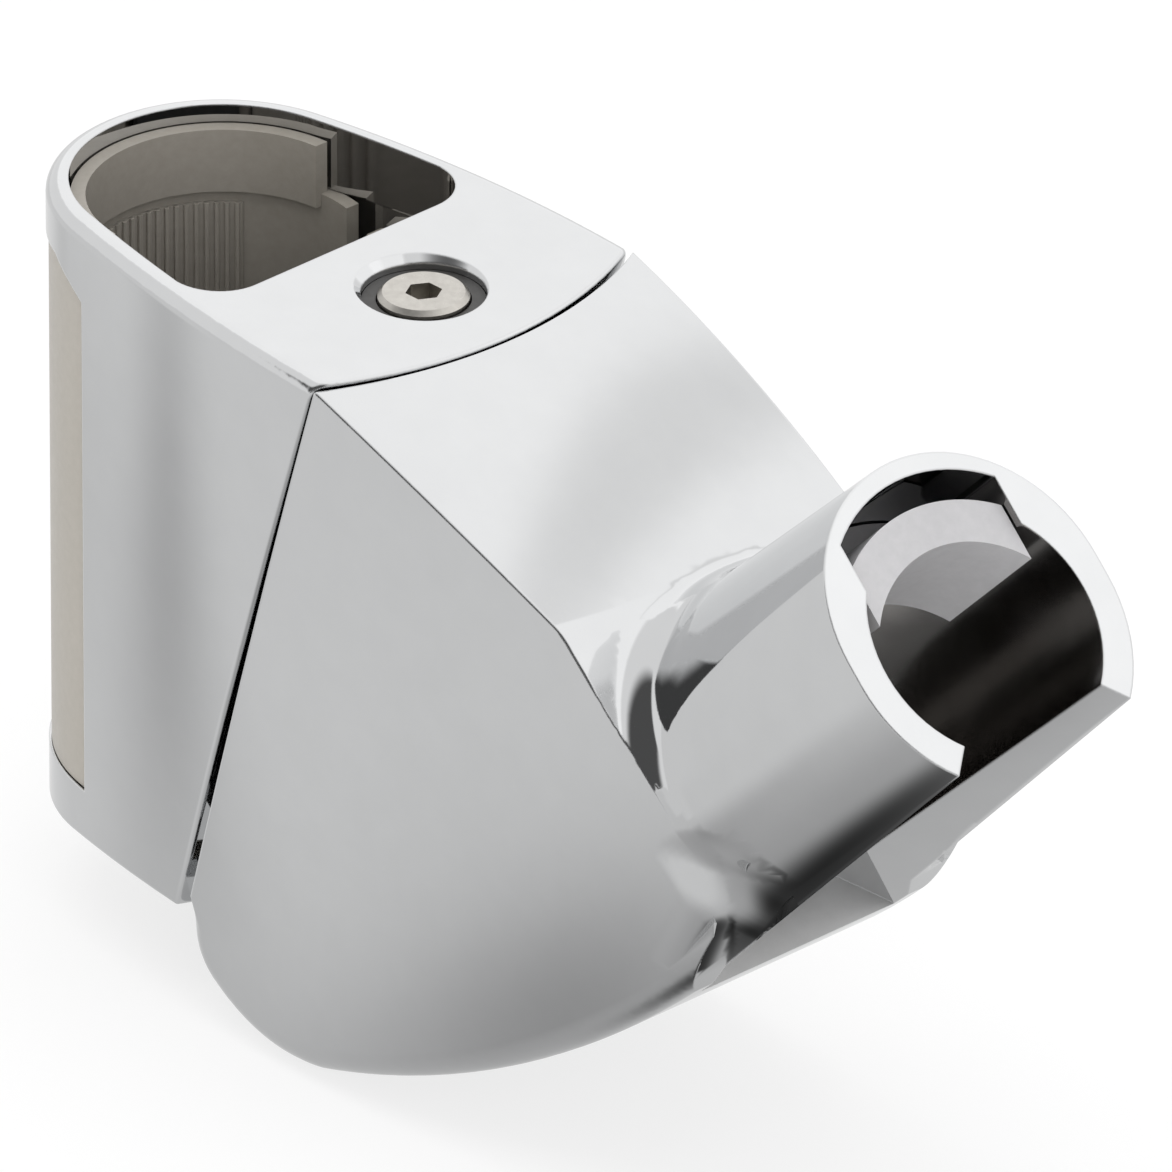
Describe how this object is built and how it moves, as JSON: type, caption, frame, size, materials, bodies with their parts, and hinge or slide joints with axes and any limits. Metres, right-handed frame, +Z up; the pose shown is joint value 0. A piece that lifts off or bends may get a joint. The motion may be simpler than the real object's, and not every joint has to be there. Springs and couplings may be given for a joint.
{
  "type": "hand shower holder",
  "caption": "Chromed hand shower holder that slides on a round wall bar, with a slotted conical seat for the shower's handle and a lever that grips the bar.",
  "frame": {"origin": "on the axis of the wall bar, level with the top rim of the slider housing", "axes": "+Z up along the bar, +X out from the wall towards the seat for the hand shower, +Y to the side"},
  "size_m": [0.1247, 0.04, 0.0781],
  "materials": {
    "chrome_shell": "mirror bright plating",
    "cover_strip": "satin",
    "sleeve_plastic": "matte",
    "ring_plastic": "matte",
    "screw_steel": "satin turned",
    "insert_brass": "machined",
    "block_plastic": "matte",
    "pin_steel": "ground",
    "carriage_plastic": "matte",
    "pad_rubber": "matte",
    "spring_steel": "drawn wire",
    "plate_metal": "matte",
    "clip_plastic": "satin"
  },
  "bodies": {
    "slider": {"slider_housing": "chrome_shell", "back_cover": "cover_strip", "bar_sleeve": "sleeve_plastic", "rib_pad": "sleeve_plastic", "screw_well_ring": "ring_plastic", "deck_screw": "screw_steel", "thread_insert": "insert_brass", "mechanism_block": "block_plastic", "pivot_pin": "pin_steel", "guide_rods": "pin_steel", "brake_springs": "spring_steel"},
    "brake": {"brake_carriage": "carriage_plastic", "brake_pad": "pad_rubber"},
    "holder": {"holder_shell": "chrome_shell", "lever_plate": "plate_metal", "plate_screws": "screw_steel", "lever_bushes": "insert_brass", "cross_pin": "pin_steel", "cup_clip": "clip_plastic"}
  },
  "joints": [
    {"name": "holder_lift", "type": "hinge", "parent": "slider", "child": "holder", "pos_m": [0.0315, 0, -0.009], "axis": [0, -1, 0], "range_deg": [0, 2.5], "stiffness_Nm_per_rad": 1.2, "springref_deg": -2.86},
    {"name": "brake_slide", "type": "slide", "parent": "slider", "child": "brake", "axis": [1, 0, 0], "range_m": [0, 0.0013], "deforming": ["brake_springs"]}
  ],
  "couplings": [
    {"joint": "brake_slide", "follows": "holder_lift", "m_per_rad": 0.027}
  ]
}
